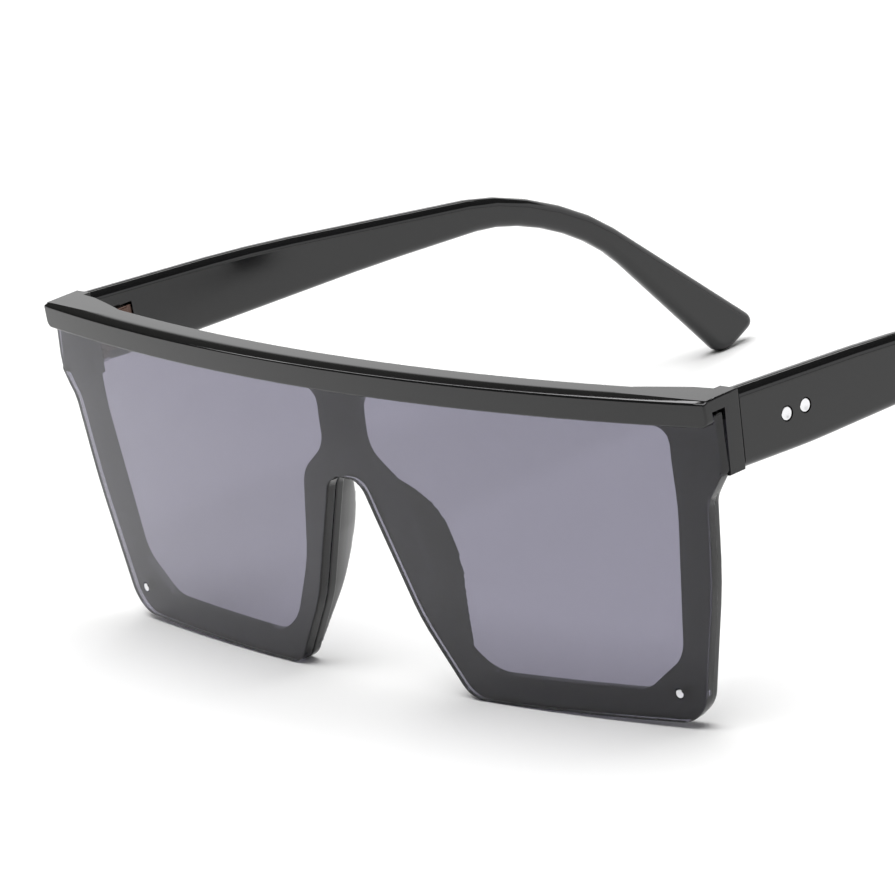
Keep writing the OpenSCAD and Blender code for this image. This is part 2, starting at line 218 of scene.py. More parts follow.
# The hinge
KNUCKLE_COUNT = 5
KNUCKLE_R = 1.25
HINGE_H = 6.4
HINGE_LOW = AXIS_Z - HINGE_H / 2
HINGE_HIGH = HINGE_LOW + HINGE_H
HINGE_CLEAR = 0.06
HINGE_EDGE_R = 0.12
KNUCKLE_PITCH = (HINGE_H + HINGE_CLEAR) / KNUCKLE_COUNT
KNUCKLE_H = KNUCKLE_PITCH - HINGE_CLEAR

# The webs join the knuckles to their leaf and are a little lower than the knuckles
WEB_PLAY = 0.02
WEB_HALF_W = 1.15

# The front leaf, in the end block's recess
FRONT_LEAF_Y = AXIS_Y - KNUCKLE_R - 0.25
FRONT_LEAF_T = 1.0
FRONT_LEAF_HALF_W = 2.1
RECESS_HALF_W = 2.15
RECESS_TOP_PLAY = 0.15

# The temple leaf, from the temple's joint face and outer face, with a tail sunk into the temple
TEMPLE_LEAF_START = AXIS_Y + KNUCKLE_R + 0.12 - JOINT_Y
TEMPLE_LEAF_END = RIVET_Y - 2.6
TEMPLE_LEAF_DEPTH = 2.1
TEMPLE_LEAF_INNER = 4.5
TEMPLE_LEAF_TOP = HINGE_HIGH - 0.5
TEMPLE_LEAF_EDGE_R = 0.3
TAIL_START = RIVET_Y - 3.2
TAIL_END = RIVET_Y + 6.4
TAIL_HALF_H = 2.3
TAIL_INNER = 3.0
TAIL_OUTER = 2.12

# The temple leaf's webs, in the front's axes
TEMPLE_WEB_START = JOINT_Y + math.tan(JOINT_LEAN) * HINGE_H / 2 + 0.05
TEMPLE_WEB_END = JOINT_Y + TEMPLE_LEAF_START + 0.6
TEMPLE_WEB_SIDE = HALF_W - 2.3

# The pocket for the leaf in the temple's inner face, in the temple's own axes
POCKET_INNER = 7.0
POCKET_START = -3.0
POCKET_END = RIVET_Y - 1
POCKET_TOP = HINGE_HIGH - 0.4

# The hinge screw, whose head is below
SCREW_HEAD_R = 1.15
SCREW_HEAD_H = 0.7
SCREW_LOW = HINGE_LOW - HINGE_CLEAR - SCREW_HEAD_H
SCREW_EDGE_R = 0.18
SHANK_R = 0.6
SHANK_H = HINGE_H + 0.3
BORE_R = 0.66
SLOT_HALF_W = 0.15
SLOT_HALF_L = 2.0
SLOT_DEPTH = 0.25

# How far the surface's fine grain rises, in metres
GRAIN_HEIGHT = 0.02 * MM

# The camera: the directions of its right and upper side, and its place in millimetres
CAMERA_RIGHT = Vector((0.6469, 0.74135, -0.17867))
CAMERA_UP = Vector((-0.10669, 0.31998, 0.9414))
CAMERA_PLACE = Vector((732.455, -551.60 - HALF_DEPTH, 307.347))

# The surroundings: white below a tilted ring, which is lower in front than behind, and dark above it
RING_TILT = (0, -0.3, 1)
RING_WHITE_UP_TO = 0.13
RING_DARK_FROM = 0.175
RING_DARK = (0.06, 0.06, 0.055)
RING_STRENGTH = 1.1


# Sizes and colours that a user would change


class SunglassesFrontSettings(bpy.types.PropertyGroup):
    curve_radius: FloatProperty(
        name="Curve Radius",
        description="Radius of the front's curve, seen from above",
        default=380 * MM, min=0.3, max=0.6, subtype="DISTANCE", unit="LENGTH")
    edge_round: FloatProperty(
        name="Brow Edge Round",
        description="Rounding of the brow bar's edges",
        default=0.3 * MM, min=0.1 * MM, max=0.5 * MM, subtype="DISTANCE", unit="LENGTH")
    plastic_color: FloatVectorProperty(
        name="Plastic Colour",
        description="Colour of the black moulded plastic",
        default=(0.006, 0.006, 0.0065), min=0, max=1, size=3, subtype="COLOR")
    plastic_roughness: FloatProperty(
        name="Plastic Roughness",
        description="Roughness of the polished plastic",
        default=0.07, min=0.01, max=0.6, subtype="FACTOR")


class SunglassesLensSettings(bpy.types.PropertyGroup):
    edge_bevel: FloatProperty(
        name="Lens Bevel",
        description="Width of the bevel round the lens's front edge",
        default=0.35 * MM, min=0.1 * MM, max=0.7 * MM, subtype="DISTANCE", unit="LENGTH")
    tint: FloatVectorProperty(
        name="Lens Tint",
        description="Share of the light that passes through the lens",
        default=(0.2, 0.192, 0.247), min=0, max=1, size=3, subtype="COLOR")


class SunglassesTempleSettings(bpy.types.PropertyGroup):
    thickness: FloatProperty(
        name="Temple Thickness",
        description="Thickness of a temple",
        default=3.3 * MM, min=3 * MM, max=4 * MM, subtype="DISTANCE", unit="LENGTH")
    edge_round: FloatProperty(
        name="Temple Edge Round",
        description="Rounding of a temple's long edges",
        default=1.45 * MM, min=0.4 * MM, max=1.6 * MM, subtype="DISTANCE", unit="LENGTH")


class SunglassesMetalSettings(bpy.types.PropertyGroup):
    silver: FloatVectorProperty(
        name="Rivet Colour",
        description="Colour of the polished rivets",
        default=(0.84, 0.84, 0.86), min=0, max=1, size=3, subtype="COLOR")
    # The hinge colour is partly the leaves' own dark coppery metal and partly painted shade: it is
    # darkened for the recess the leaves sit in
    copper_and_shade: FloatVectorProperty(
        name="Hinge Colour",
        description="Colour of the hinge leaves",
        default=(0.11, 0.07, 0.058), min=0, max=1, size=3, subtype="COLOR")
    steel: FloatVectorProperty(
        name="Screw Colour",
        description="Colour of the hinge screws",
        default=(0.7, 0.7, 0.72), min=0, max=1, size=3, subtype="COLOR")


class SunglassesStudioSettings(bpy.types.PropertyGroup):
    floor_color: FloatVectorProperty(
        name="Floor Colour",
        description="Colour of the studio floor",
        default=(0.96, 0.96, 0.96), min=0, max=1, size=3, subtype="COLOR")
    softbox_power: FloatProperty(
        name="Softbox Power",
        description="Power of the large softbox overhead, in watts",
        default=20.0, min=0, max=100)
    strip_power: FloatProperty(
        name="Strip Power",
        description="Power of the narrow lamp that draws the bright line on the brow, in watts",
        default=2.2, min=0, max=20)
    focal_length: FloatProperty(
        name="Focal Length",
        description="Focal length of the camera, in millimetres",
        default=270.63, min=50, max=400)


# Selecting and shaping


def only(piece):
    """Selects one object alone and makes it the active one."""
    bpy.ops.object.select_all(action="DESELECT")
    piece.select_set(True)
    bpy.context.view_layer.objects.active = piece


def edit(piece):
    only(piece)
    bpy.ops.object.mode_set(mode="EDIT")


def leave():
    bpy.ops.object.mode_set(mode="OBJECT")


def pick(piece, kind, test):
    """In edit mode, selects the vertices, edges or faces that pass a test, and no others."""
    bpy.ops.mesh.select_mode(type=kind)
    bpy.ops.mesh.select_all(action="DESELECT")
    mesh = bmesh.from_edit_mesh(piece.data)
    mesh.normal_update()
    items = {"VERT": mesh.verts, "EDGE": mesh.edges, "FACE": mesh.faces}[kind]
    for item in items:
        if test(item):
            item.select_set(True)
    bmesh.update_edit_mesh(piece.data)


def edge_at(test):
    """A test for edges, given the places of both their ends."""
    return lambda edge: all(test(v.co) for v in edge.verts)


def slice_at(place, normal):
    """In edit mode, divides the whole piece along a plane."""
    bpy.ops.mesh.select_all(action="SELECT")
    bpy.ops.mesh.bisect(plane_co=place, plane_no=normal, threshold=WELD)


def apply(piece, kind, **settings):
    """Adds a modifier, sets it up and applies it."""
    only(piece)
    modifier = piece.modifiers.new(kind.title(), kind)
    for name, value in settings.items():
        setattr(modifier, name, value)
    bpy.ops.object.modifier_apply(modifier=modifier.name)


def combine(piece, other, how):
    """Joins, cuts or trims a piece with another one, which is used up."""
    apply(piece, "BOOLEAN", operation=how, object=other, solver="EXACT")
    bpy.data.objects.remove(other)


def outward(piece):
    """Merges doubled points and turns all faces outwards."""
    edit(piece)
    bpy.ops.mesh.select_all(action="SELECT")
    bpy.ops.mesh.remove_doubles(threshold=WELD)
    bpy.ops.mesh.normals_make_consistent(inside=False)
    leave()


def new_piece(name):
    """Names the primitive that was just added, and its mesh."""
    piece = bpy.context.active_object
    piece.name = name
    piece.data.name = name
    return piece


def outline(name, corners, place):
    """A flat face. Each corner is (a, b, rounding), and place turns a and b into a point."""
    bpy.ops.object.select_all(action="DESELECT")
    bpy.ops.mesh.primitive_circle_add(vertices=len(corners), radius=1, fill_type="NGON")
    piece = new_piece(name)
    edit(piece)
    points = [Vector(place(a, b)) for a, b, _ in corners]
    for index, point in enumerate(points):
        pick(piece, "VERT", lambda v: v.index == index)
        now = bmesh.from_edit_mesh(piece.data).verts[:][index].co.copy()
        bpy.ops.transform.translate(value=point - now)
    for index, point in enumerate(points):
        rounding = corners[index][2]
        if rounding == 0:
            continue
        before = (point - points[index - 1]).normalized()
        after = (points[(index + 1) % len(points)] - point).normalized()
        turn = before.angle(after)
        pick(piece, "VERT", lambda v: (v.co - point).length < SAME_POINT)
        steps = min(math.degrees(turn) / ROUND_TURN, rounding * turn / SHORTEST)
        bpy.ops.mesh.bevel(
            offset=rounding * math.tan(turn / 2), affect="VERTICES", clamp_overlap=False,
            segments=max(2, math.ceil(steps)))
    leave()
    return piece


def extrude(piece, move):
    """Draws a flat face out into a solid."""
    edit(piece)
    bpy.ops.mesh.select_all(action="SELECT")
    bpy.ops.mesh.extrude_region_move(TRANSFORM_OT_translate={"value": move})
    leave()
    outward(piece)


def upright(name, corners, y0, y1):
    """A solid with an outline in X and Z, from one depth to another."""
    piece = outline(name, corners, lambda x, z: (x, y0, z))
    extrude(piece, (0, y1 - y0, 0))
    return piece


def level(name, corners, z0, z1):
    """A solid with an outline in X and Y, from one height to another."""
    piece = outline(name, corners, lambda x, y: (x, y, z0))
    extrude(piece, (0, 0, z1 - z0))
    return piece


def block(name, low, high):
    """A box between two corners."""
    bpy.ops.object.select_all(action="DESELECT")
    middle = (Vector(low) + Vector(high)) / 2
    bpy.ops.mesh.primitive_cube_add(size=1, location=middle, scale=Vector(high) - Vector(low))
    piece = new_piece(name)
    bpy.ops.object.transform_apply(location=True, rotation=True, scale=True)
    return piece


def drum(name, radius, length, place, direction):
    """A round bar that starts at a place and runs in a direction."""
    bpy.ops.object.select_all(action="DESELECT")
    turn = Vector((0, 0, 1)).rotation_difference(Vector(direction))
    middle = Vector(place) + Vector(direction).normalized() * length / 2
    bpy.ops.mesh.primitive_cylinder_add(
        vertices=DRUM_SIDES, radius=radius, depth=length, location=middle, rotation=turn.to_euler())
    piece = new_piece(name)
    bpy.ops.object.transform_apply(location=True, rotation=True, scale=True)
    return piece


def cut(piece, point, normal):
    """Cuts away what lies on a plane's outer side and closes the cut."""
    edit(piece)
    bpy.ops.mesh.select_all(action="SELECT")
    bpy.ops.mesh.bisect(plane_co=point, plane_no=normal, use_fill=True, clear_outer=True,
                        threshold=WELD)
    leave()
    outward(piece)


def curve(piece, radius):
    """Wraps a flat piece round the front's curve. X becomes length along the curve."""
    edit(piece)
    reach = max(abs(v.co.x) for v in bmesh.from_edit_mesh(piece.data).verts)
    count = int(reach / STRIP)
    for index in range(-count, count + 1):
        slice_at((index * STRIP, 0, 0), (1, 0, 0))
    leave()
    xs = [v.co.x for v in piece.data.vertices]
    apply(piece, "SIMPLE_DEFORM", deform_method="BEND", deform_axis="Z",
          angle=(max(xs) - min(xs)) / radius)


def round_edges(piece, width, segments=3, angle=SHARP_ANGLE):
    """Rounds all edges that turn by more than an angle in degrees."""
    apply(piece, "BEVEL", width=width, segments=segments, limit_method="ANGLE",
          angle_limit=math.radians(angle), use_clamp_overlap=False, harden_normals=False)


def mirrored(piece, name):
    """A copy with a mesh of its own, on the other side."""
    only(piece)
    bpy.ops.object.duplicate()
    copy = new_piece(name)
    copy.scale = (-1, 1, 1)
    bpy.ops.object.transform_apply(location=True, rotation=True, scale=True)
    outward(copy)
    return copy


def finish(piece, material, body, slot, *nodes, angle=SMOOTH_ANGLE):
    """Brings a piece into the frame's metres, smooths it, ties it to its body and hides the CAD nodes it
    replaces.
    """
    piece.data.transform(Matrix.Scale(MM, 4) @ Matrix.Translation((0, -HALF_DEPTH, 0)))
    only(piece)
    bpy.ops.object.shade_smooth_by_angle(angle=math.radians(angle))
    apply(piece, "WEIGHTED_NORMAL", keep_sharp=True, weight=50)
    piece.data.materials.clear()
    piece.data.materials.append(material)
    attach(piece, body)
    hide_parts(*nodes)


def along(x, radius):
    """Length along the front's curve up to a given X."""
    return radius * math.asin(x / radius)


# Materials


def new_material(name):
    """A material. Its nodes, links and shader come with it only when it wasn't there yet."""
    material = bpy.data.materials.get(name)
    if material:
        return material, None, None, None
    material = bpy.data.materials.new(name)
    material.use_nodes = True
    nodes, links = material.node_tree.nodes, material.node_tree.links
    return material, nodes, links, nodes["Principled BSDF"]


def add_noise(nodes, links, place, scale, detail=2):
    """Noise that lies on the piece's own coordinates."""
    noise = nodes.new("ShaderNodeTexNoise")
    noise.inputs["Scale"].default_value = scale
    noise.inputs["Detail"].default_value = detail
    links.new(place.outputs["Object"], noise.inputs["Vector"])
    return noise


def add_tone(nodes, links, shader, noise, color, darkest, lightest):
    """A colour that noise makes a little darker and lighter."""
    tone = nodes.new("ShaderNodeValToRGB")
    for element, share in zip(tone.color_ramp.elements, (darkest, lightest)):
        element.color = (*(Vector(color) * share), 1)
    links.new(noise.outputs["Fac"], tone.inputs["Fac"])
    links.new(tone.outputs["Color"], shader.inputs["Base Color"])


def add_grain(nodes, links, shader, scale, bump, roughness, spread):
    """Fine unevenness of the surface, and a roughness that varies a little by the noise it gives back."""
    place = nodes.new("ShaderNodeTexCoord")
    fine = add_noise(nodes, links, place, scale, detail=3)
    height = nodes.new("ShaderNodeBump")
    height.inputs["Strength"].default_value = bump
    height.inputs["Distance"].default_value = GRAIN_HEIGHT
    links.new(fine.outputs["Fac"], height.inputs["Height"])
    links.new(height.outputs["Normal"], shader.inputs["Normal"])
    broad = add_noise(nodes, links, place, scale / 12, detail=4)
    polish = nodes.new("ShaderNodeMapRange")
    polish.inputs["To Min"].default_value = roughness * (1 - spread)
    polish.inputs["To Max"].default_value = roughness * (1 + spread)
    links.new(broad.outputs["Fac"], polish.inputs["Value"])
    links.new(polish.outputs["Result"], shader.inputs["Roughness"])
    return broad


def black_plastic():
    front = bpy.context.scene.sunglasses_front
    material, nodes, links, shader = new_material("Black polished plastic")
    if shader:
        broad = add_grain(nodes, links, shader, scale=500, bump=0.003,
                          roughness=front.plastic_roughness, spread=0.35)
        add_tone(nodes, links, shader, broad, front.plastic_color, darkest=0.85, lightest=1.15)
        shader.inputs["IOR"].default_value = 1.5
    return material


def smoke_lens():
    lens = bpy.context.scene.sunglasses_lens
    material, nodes, links, shader = new_material("Smoke tinted lens")
    if shader:
        cloud = add_noise(nodes, links, nodes.new("ShaderNodeTexCoord"), scale=30)
        add_tone(nodes, links, shader, cloud, lens.tint, darkest=0.98, lightest=1.02)
        shader.inputs["Transmission Weight"].default_value = 1.0
        shader.inputs["Roughness"].default_value = 0.0
        shader.inputs["IOR"].default_value = 1.45
    return material


def metal(name, color, roughness):
    material, nodes, links, shader = new_material(name)
    if shader:
        broad = add_grain(nodes, links, shader, scale=4000, bump=0.15, roughness=roughness, spread=0.4)
        add_tone(nodes, links, shader, broad, color, darkest=0.85, lightest=1)
        shader.inputs["Metallic"].default_value = 1.0
    return material


def pale_floor():
    studio = bpy.context.scene.sunglasses_studio
    material, nodes, links, shader = new_material("Pale studio floor")
    if shader:
        cloud = add_noise(nodes, links, nodes.new("ShaderNodeTexCoord"), scale=3)
        add_tone(nodes, links, shader, cloud, studio.floor_color, darkest=0.99, lightest=1)
        shader.inputs["Roughness"].default_value = 0.9
        shader.inputs["Specular IOR Level"].default_value = 0.1
    return material


# The front


def lens_corners(inset, top, radius):
    """The lens's outline, laid flat: the right half from the top down, and its mirror image."""
    side = HALF_W - inset
    shoulder = TEMPLE_BOTTOM + 0.4
    half = [
        (side, top, 0.8),
        (side, shoulder, 1.3),
        (side - 3, shoulder - 4.1, 4),
        (side - 4.9, shoulder - 16.7, 60),
        (side - 10.3, 0.9, 5.5),
        (27.1, 0, 60),
        (19.1, 0, 4.5),
        (11.3, 11.4, 20),
        (3.3, 31.2, 3.2),
    ]
    right = [(along(x, radius), z, r) for x, z, r in half]
    return right + [(-x, z, r) for x, z, r in reversed(right)]


def eye_corners(radius):
    """The right eye opening's outline, laid flat."""
    edge = HALF_W - RIM_W
    corners = [
        (4.6, 43.7, 2.4),
        (edge - 3.7, 43.7, 2.6),
        (edge - 3.9, 32.55, 30),
        (edge - 7.7, 10.2, 5),
        (edge - 15.1, 4.8, 5),
        (20.6, 4.1, 9),
        (13.8, 17.1, 18),
        (10.5, 31.0, 5),
        (4.6, 35.5, 4),
    ]
    return [(along(x, radius), z, r) for x, z, r in corners]


def lean_back(piece):
    """Bends the upper part of a flat piece backwards, row by row."""
    edit(piece)
    rows = [(LEAN_START + index * LEAN_ROW, lean) for index, lean in enumerate(LEANS)]
    for height, _ in rows:
        slice_at((0, 0, height), (0, 0, 1))
    for height, lean in rows:
        pick(piece, "VERT", lambda v: v.co.z > height + NEAR)
        bpy.ops.transform.translate(value=(0, lean, 0))
    leave()


def brow_bar(radius, edge_round):
    """The brow bar, laid flat: rounded and crowned along its front, with a groove for the lens."""
    end = along(HALF_W - BROW_END_PLAY, radius)
    bar = upright("front_moulding", [
        (-end, FRONT_H, 0),
        (end, FRONT_H, 0),
        (end, BROW_Z, BROW_END_R),
        (-end, BROW_Z, BROW_END_R),
    ], 0, BROW_DEPTH)
    longer = radius * math.asin(HALF_W / (radius - BROW_DEPTH)) - end
    edit(bar)
    for side in (-1, 1):
        pick(bar, "VERT", lambda v: v.co.y > BROW_DEPTH - NEAR and v.co.x * side > 0)
        bpy.ops.transform.translate(value=(side * longer, 0, 0))
    leave()
    round_edges(bar, edge_round, segments=4)
    edit(bar)
    for depth, _ in BROW_CROWN:
        slice_at((0, depth, 0), (0, 1, 0))
    for depth, fall in BROW_CROWN:
        pick(bar, "VERT", lambda v: v.co.z > FRONT_H - BROW_CROWN_H and v.co.y < depth - NEAR)
        bpy.ops.transform.translate(value=(0, 0, -fall))
    leave()
    groove = block("groove", (-GROOVE_HALF_W, GROOVE_FRONT, BROW_Z - OVER),
                   (GROOVE_HALF_W, GROOVE_BACK, GROOVE_TOP))
    combine(bar, groove, "DIFFERENCE")
    return bar


def rims(radius):
    """The rims behind the lens, laid flat, with both eye openings."""
    plate = upright("rims", lens_corners(RIM_INSET, RIM_TOP, radius), RIM_FRONT, RIM_BACK)
    right_eye = upright("eye", eye_corners(radius), RIM_FRONT - OVER, RIM_BACK + OVER)
    left_eye = mirrored(right_eye, "eye")
    combine(plate, right_eye, "DIFFERENCE")
    combine(plate, left_eye, "DIFFERENCE")
    round_edges(plate, RIM_EDGE_R)
    lean_back(plate)
    return plate


def nose_bearing():
    """The right nose bearing: a fin that curls outwards to the back, cut to a crescent from the side."""
    fin = outline("nose_bearing", [
        (3.9, 32.6, 1.3),
        (6.6, 31.4, 2.5),
        (9.3, 26.3, 8),
        (12.1, 18.4, 14),
        (14.2, 12, 12),
        (17.4, 6.8, 5),
        (18.5, 2.2, 1),
        (17.3, 2.2, 0),
        (11.8, 11.8, 16),
        (7.6, 21, 10),
        (5.2, 27.5, 8),
    ], lambda x, z: (x, BEARING_FRONT, z))
    edit(fin)
    bpy.ops.mesh.select_all(action="SELECT")
    for step in range(BEARING_STEPS):
        slope = BEARING_SLOPE + BEARING_CURL * (step + 0.5)
        move = (slope * BEARING_STEP, BEARING_STEP, 0)
        bpy.ops.mesh.extrude_region_move(TRANSFORM_OT_translate={"value": move})
    leave()
    outward(fin)
    crescent = outline("crescent", [
        (2.5, 33, 0),
        (4.2, 33, 0),
        (8.7, 27, 10),
        (9.3, 20, 24),
        (8.0, 13, 30),
        (5.6, 7, 6),
        (4.2, 2.4, 0),
        (2.5, 2.4, 0),
    ], lambda y, z: (-OVER, y, z))
    extrude(crescent, (BEARING_REACH, 0, 0))
    combine(fin, crescent, "INTERSECT")
    apply(fin, "REMESH", mode="VOXEL", voxel_size=BEARING_MESH)
    apply(fin, "SMOOTH", factor=0.5, iterations=8)
    return fin


def hinge_block():
    """The deep part of the right end block, which holds the hinge. Its upper front edge is set back."""
    body = level("end_block", [
        (BLOCK_SIDE, BLOCK_START + 2.42, 0),
        (BLOCK_SIDE, BLOCK_END, 0),
        (BLOCK_SIDE - BLOCK_W, BLOCK_END, 0),
        (BLOCK_SIDE - BLOCK_W, BLOCK_START + 4.95, 0),
        (BLOCK_SIDE - 8.0, BLOCK_START + 3.95, 0),
        (BLOCK_SIDE - 8.0, BLOCK_START + 1.15, 0),
    ], BLOCK_BOTTOM, CAP_BOTTOM + BLOCK_OVERLAP)
    front_end = BLOCK_START + 3
    edit(body)
    pick(body, "VERT", lambda v: v.co.y < front_end and v.co.z > BROW_Z)
    bpy.ops.transform.translate(value=(0, BLOCK_SET_BACK, 0))
    leave()
    return body


def end_cap():
    """The upper part of the right end block, level with the brow bar and tapering inwards."""
    return level("end_cap", [
        (BLOCK_SIDE, BLOCK_START + 0.5, 0),
        (BLOCK_SIDE, BLOCK_END, 0),
        (BLOCK_SIDE - BLOCK_W, BLOCK_END, 0),
        (BLOCK_SIDE - BLOCK_W, BLOCK_START + 5.0, 0),
        (BLOCK_SIDE - 6.8, BLOCK_START + 4.5, 2),
        (BLOCK_SIDE - 11.8, BLOCK_START + 3.05, 2.5),
        (BLOCK_SIDE - 16, BLOCK_START + 1.7, 0),
        (BLOCK_SIDE - 16, BLOCK_START - 1, 0),
    ], CAP_BOTTOM, BLOCK_TOP)


def end_block(edge_round):
    """The right end block, cut off at the joint and with the recess for the hinge."""
    body = hinge_block()
    combine(body, end_cap(), "UNION")
    edit(body)
    pick(body, "EDGE", edge_at(lambda p: p.x > BLOCK_SIDE - NEAR and p.z > BLOCK_TOP - NEAR / 2))
    bpy.ops.mesh.bevel(offset=edge_round, segments=4, affect="EDGES", clamp_overlap=False)
    leave()
    cut(body, (0, BLOCK_REAR, AXIS_Z), JOINT_NORMAL)
    recess = block(
        "recess",
        (AXIS_X - RECESS_HALF_W, FRONT_LEAF_Y - (FRONT_LEAF_T + FIT), BLOCK_BOTTOM - OVER),
        (AXIS_X + RECESS_HALF_W, BLOCK_END, AXIS_Z + HINGE_H / 2 + RECESS_TOP_PLAY))
    combine(body, recess, "DIFFERENCE")
    return body


def soften_blocks(front):
    """Rounds the free edges of both end blocks a little."""
    joint = Vector((0, BLOCK_REAR, AXIS_Z))
    side_top = BROW_Z + 1.6
    bottom_inner = HALF_W - 8.1

    def free(p):
        at_joint = abs((p - joint).dot(JOINT_NORMAL)) < ON_PLANE
        at_side = abs(abs(p.x) - BLOCK_SIDE) < ON_PLANE and p.z < side_top
        at_bottom = abs(p.z - BLOCK_BOTTOM) < ON_PLANE and abs(p.x) > bottom_inner
        return at_joint or (p.y > BLOCK_FREE_Y and (at_side or at_bottom))

    edit(front)
    sharp = math.radians(SHARP_ANGLE)
    pick(front, "EDGE", lambda edge: edge.calc_face_angle(0) > sharp and edge_at(free)(edge))
    bpy.ops.mesh.bevel(offset=BLOCK_EDGE_R, segments=2, affect="EDGES", clamp_overlap=False)
    leave()


class SUNGLASSES_OT_front(bpy.types.Operator):
    """Builds the black front moulding: brow bar, rims, bridge, nose bearings and end blocks"""

    bl_idname = "sunglasses.front"
    bl_label = "Front Moulding"

    def execute(self, context):
        settings = context.scene.sunglasses_front
        radius = settings.curve_radius / MM
        front = brow_bar(radius, settings.edge_round / MM)
        combine(front, rims(radius), "UNION")
        bearing = nose_bearing()
        combine(front, mirrored(bearing, "nose_bearing_left"), "UNION")
        combine(front, bearing, "UNION")
        curve(front, radius)
        hinge_end = end_block(settings.edge_round / MM)
        combine(front, mirrored(hinge_end, "end_block_left"), "UNION")
        combine(front, hinge_end, "UNION")
        soften_blocks(front)
        outward(front)
        finish(front, black_plastic(), FRONT_BODY, "black_plastic", "front_frame")
        return {"FINISHED"}


# The lens


def bevel_lens(lens, width):
    """Bevels the lens's outline, fully in front and less at the back."""
    weights = lens.data.attributes.new("bevel_weight_edge", "FLOAT", "EDGE")
    for edge in lens.data.edges:
        depths = [lens.data.vertices[i].co.y for i in edge.vertices]
        if max(depths) < LENS_FRONT + NEAR:
            weights.data[edge.index].value = 1
        if min(depths) > LENS_BACK - NEAR:
            weights.data[edge.index].value = LENS_BACK_BEVEL
    apply(lens, "BEVEL", width=width, segments=3, limit_method="WEIGHT", use_clamp_overlap=False)


class SUNGLASSES_OT_lens(bpy.types.Operator):
    """Builds the one-piece tinted lens with its bevelled edge and rivet recesses"""

    bl_idname = "sunglasses.lens"
    bl_label = "Shield Lens"

    def execute(self, context):
        settings = context.scene.sunglasses_lens
        radius = context.scene.sunglasses_front.curve_radius / MM
        lens = upright("shield", lens_corners(-LENS_WIDER, LENS_TOP, radius), LENS_FRONT, LENS_BACK)
        edit(lens)
        for side in (-1, 1):
            pick(lens, "VERT", lambda v: v.co.y > LENS_BACK - NEAR and v.co.z > TEMPLE_BOTTOM
                 and v.co.x * side > LENS_SIDE)
            bpy.ops.transform.translate(value=(side * LENS_BACK_WIDER, 0, 0))
        leave()
        bevel_lens(lens, settings.edge_bevel / MM)
        lean_back(lens)
        for side in (-1, 1):
            start = (side * along(LENS_RIVET_X, radius), LENS_FRONT - LENS_CUTTER_OVER, LENS_RIVET_Z)
            hole = drum("hole", LENS_RECESS_R, LENS_CUTTER_OVER + LENS_RECESS_DEPTH, start, (0, 1, 0))
            combine(lens, hole, "DIFFERENCE")
        curve(lens, radius)
        outward(lens)
        finish(lens, smoke_lens(), FRONT_BODY, "tinted_lens", "shield_lens", angle=LENS_SMOOTH_ANGLE)
        return {"FINISHED"}


# The temples


def temple_corners():
    """A temple's outline from the side, along its own length from the joint."""
    return [
        (-2, TEMPLE_TOP + 0.15, 0),
        (31.3, TEMPLE_TOP - 2.4, 250),
        (TEMPLE_BEND, TEMPLE_TOP - 10.65, 52),
        (128.1, 2.9, 1.8),
        (121.6, 0, 5),
        (TEMPLE_BEND + 28.7, 0, 2.5),
        (TEMPLE_BEND + 1.5, TEMPLE_BOTTOM - 3.7, 38),
        (54.5, TEMPLE_BOTTOM - 1.85, 300),
        (12.8, TEMPLE_BOTTOM - 1.05, 120),
        (-2, TEMPLE_BOTTOM - 0.1, 0),
    ]


def to_temple(piece):
    """Turns a piece from the temple's own axes to its place on the right."""
    only(piece)
    piece.rotation_euler = (0, 0, TEMPLE_SPLAY)
    piece.location = (HALF_W - TEMPLE_STEP, JOINT_Y, 0)
    bpy.ops.object.transform_apply(location=True, rotation=True, scale=True)


def hinge_pocket():
    """What is cut out of the right temple's inner face for the hinge leaf."""
    return block(
        "pocket",
        (-POCKET_INNER, POCKET_START, HINGE_LOW - FIT),
        (FIT - TEMPLE_LEAF_DEPTH, POCKET_END, POCKET_TOP))


class SUNGLASSES_OT_temples(bpy.types.Operator):
    """Builds both temples, with rounded long edges, rivet recesses and hinge pockets"""

    bl_idname = "sunglasses.temples"
    bl_label = "Temples"

    def execute(self, context):
        settings = context.scene.sunglasses_temple
        temple = outline("temple_arm_right", temple_corners(), lambda y, z: (0, y, z))
        extrude(temple, (-settings.thickness / MM, 0, 0))
        round_edges(temple, settings.edge_round / MM, segments=6, angle=60)
        for y in (RIVET_Y, RIVET_Y + RIVET_PITCH):
            recess = drum("recess", RIVET_RECESS_R, OVER + RIVET_RECESS_DEPTH,
                          (OVER, y, AXIS_Z), (-1, 0, 0))
            combine(temple, recess, "DIFFERENCE")
        combine(temple, hinge_pocket(), "DIFFERENCE")
        to_temple(temple)
        joint = Vector((0, JOINT_Y, AXIS_Z))
        cut(temple, joint, -JOINT_NORMAL)
        edit(temple)
        pick(temple, "EDGE", edge_at(lambda p: abs((p - joint).dot(JOINT_NORMAL)) < ON_PLANE))
        bpy.ops.mesh.bevel(offset=JOINT_EDGE_R, segments=2, affect="EDGES", clamp_overlap=False)
        leave()
        left = mirrored(temple, "temple_arm_left")
        for piece, side in ((left, "left"), (temple, "right")):
            finish(piece, black_plastic(), f"{side}_temple_body", "black_plastic", f"{side}_temple")
        return {"FINISHED"}


# Rivets, hinges and screws


def rivet_head(name, radius, height, place, direction):
    """A rivet's head with a slightly sunken middle and a rounded rim."""
    head = drum(name, radius, height, place, direction)
    axis = Vector(direction).normalized()
    edit(head)
    pick(head, "FACE", lambda f: f.normal.dot(axis) < -0.9)
    bpy.ops.mesh.inset(thickness=radius * HEAD_RIM)
    bpy.ops.mesh.inset(thickness=radius * HEAD_SLOPE, depth=-radius * HEAD_SINK)
    leave()
    round_edges(head, radius * HEAD_ROUND, segments=3, angle=30)
    return head


